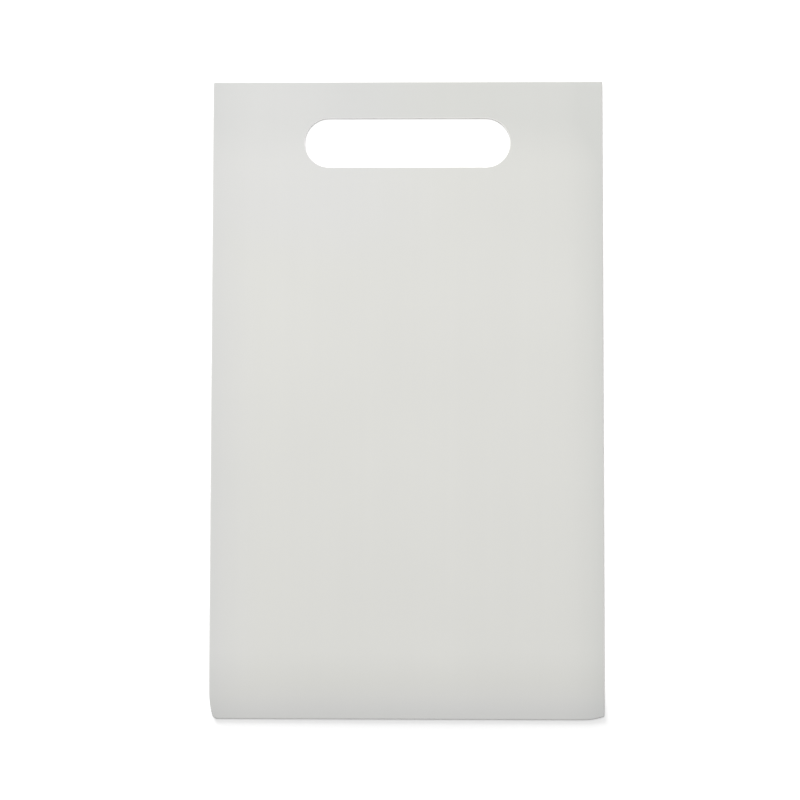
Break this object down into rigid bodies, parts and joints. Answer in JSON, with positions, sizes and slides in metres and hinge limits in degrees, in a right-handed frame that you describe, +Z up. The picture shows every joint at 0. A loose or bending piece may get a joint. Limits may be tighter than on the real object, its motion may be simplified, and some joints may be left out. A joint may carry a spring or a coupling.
{
  "type": "flexible cutting mat",
  "caption": "Thin flexible cutting mat with a wide hand slot near one end, which curls up lengthwise into a chute.",
  "frame": {"origin": "centre of the bounding box's base, on the worktop under the middle of the mat", "axes": "+Y along the mat towards the hand slot, +X across it, +Z up out of the cutting face"},
  "size_m": [0.203, 0.3306, 0.0046],
  "materials": {
    "sheet": "satin, with a very fine even grain"
  },
  "bodies": {
    "centre": {"centre_panel": "sheet", "centre_grip_bar": "sheet"},
    "left_strip_1": {"left_panel_1": "sheet", "left_grip_bar_1": "sheet"},
    "left_strip_2": {"left_panel_2": "sheet", "left_grip_bar_2": "sheet"},
    "left_strip_3": {"left_panel_3": "sheet"},
    "left_strip_4": {"left_panel_4": "sheet"},
    "left_strip_5": {"left_panel_5": "sheet"},
    "left_strip_6": {"left_panel_6": "sheet"},
    "right_strip_1": {"right_panel_1": "sheet", "right_grip_bar_1": "sheet"},
    "right_strip_2": {"right_panel_2": "sheet", "right_grip_bar_2": "sheet"},
    "right_strip_3": {"right_panel_3": "sheet"},
    "right_strip_4": {"right_panel_4": "sheet"},
    "right_strip_5": {"right_panel_5": "sheet"},
    "right_strip_6": {"right_panel_6": "sheet"}
  },
  "joints": [
    {"name": "left_bend_1", "type": "hinge", "parent": "centre", "child": "left_strip_1", "pos_m": [-0.00812, 0.00002, 0.00342], "axis": [0, 1, -0.0086], "range_deg": [0, 12], "stiffness_Nm_per_rad": 0.6},
    {"name": "left_bend_2", "type": "hinge", "parent": "left_strip_1", "child": "left_strip_2", "pos_m": [-0.02436, 0.00002, 0.00342], "axis": [0, 1, -0.0086], "range_deg": [0, 12], "stiffness_Nm_per_rad": 0.6},
    {"name": "left_bend_3", "type": "hinge", "parent": "left_strip_2", "child": "left_strip_3", "pos_m": [-0.0406, 0.00002, 0.00342], "axis": [0, 1, -0.0086], "range_deg": [0, 12], "stiffness_Nm_per_rad": 0.6},
    {"name": "left_bend_4", "type": "hinge", "parent": "left_strip_3", "child": "left_strip_4", "pos_m": [-0.0558, 0.00002, 0.00342], "axis": [0, 1, -0.0086], "range_deg": [0, 12], "stiffness_Nm_per_rad": 0.6},
    {"name": "left_bend_5", "type": "hinge", "parent": "left_strip_4", "child": "left_strip_5", "pos_m": [-0.07103, 0.00002, 0.00342], "axis": [0, 1, -0.0086], "range_deg": [0, 12], "stiffness_Nm_per_rad": 0.6},
    {"name": "left_bend_6", "type": "hinge", "parent": "left_strip_5", "child": "left_strip_6", "pos_m": [-0.08627, 0.00002, 0.00342], "axis": [0, 1, -0.0086], "range_deg": [0, 12], "stiffness_Nm_per_rad": 0.6},
    {"name": "right_bend_1", "type": "hinge", "parent": "centre", "child": "right_strip_1", "pos_m": [0.00812, 0.00002, 0.00342], "axis": [0, -1, 0.0086], "range_deg": [0, 12], "stiffness_Nm_per_rad": 0.6},
    {"name": "right_bend_2", "type": "hinge", "parent": "right_strip_1", "child": "right_strip_2", "pos_m": [0.02436, 0.00002, 0.00342], "axis": [0, -1, 0.0086], "range_deg": [0, 12], "stiffness_Nm_per_rad": 0.6},
    {"name": "right_bend_3", "type": "hinge", "parent": "right_strip_2", "child": "right_strip_3", "pos_m": [0.0406, 0.00002, 0.00342], "axis": [0, -1, 0.0086], "range_deg": [0, 12], "stiffness_Nm_per_rad": 0.6},
    {"name": "right_bend_4", "type": "hinge", "parent": "right_strip_3", "child": "right_strip_4", "pos_m": [0.0558, 0.00002, 0.00342], "axis": [0, -1, 0.0086], "range_deg": [0, 12], "stiffness_Nm_per_rad": 0.6},
    {"name": "right_bend_5", "type": "hinge", "parent": "right_strip_4", "child": "right_strip_5", "pos_m": [0.07103, 0.00002, 0.00342], "axis": [0, -1, 0.0086], "range_deg": [0, 12], "stiffness_Nm_per_rad": 0.6},
    {"name": "right_bend_6", "type": "hinge", "parent": "right_strip_5", "child": "right_strip_6", "pos_m": [0.08627, 0.00002, 0.00342], "axis": [0, -1, 0.0086], "range_deg": [0, 12], "stiffness_Nm_per_rad": 0.6}
  ],
  "couplings": [
    {"joint": "left_bend_2", "follows": "left_bend_1", "ratio": 1},
    {"joint": "left_bend_3", "follows": "left_bend_1", "ratio": 1},
    {"joint": "left_bend_4", "follows": "left_bend_1", "ratio": 1},
    {"joint": "left_bend_5", "follows": "left_bend_1", "ratio": 1},
    {"joint": "left_bend_6", "follows": "left_bend_1", "ratio": 1},
    {"joint": "right_bend_2", "follows": "right_bend_1", "ratio": 1},
    {"joint": "right_bend_3", "follows": "right_bend_1", "ratio": 1},
    {"joint": "right_bend_4", "follows": "right_bend_1", "ratio": 1},
    {"joint": "right_bend_5", "follows": "right_bend_1", "ratio": 1},
    {"joint": "right_bend_6", "follows": "right_bend_1", "ratio": 1}
  ]
}
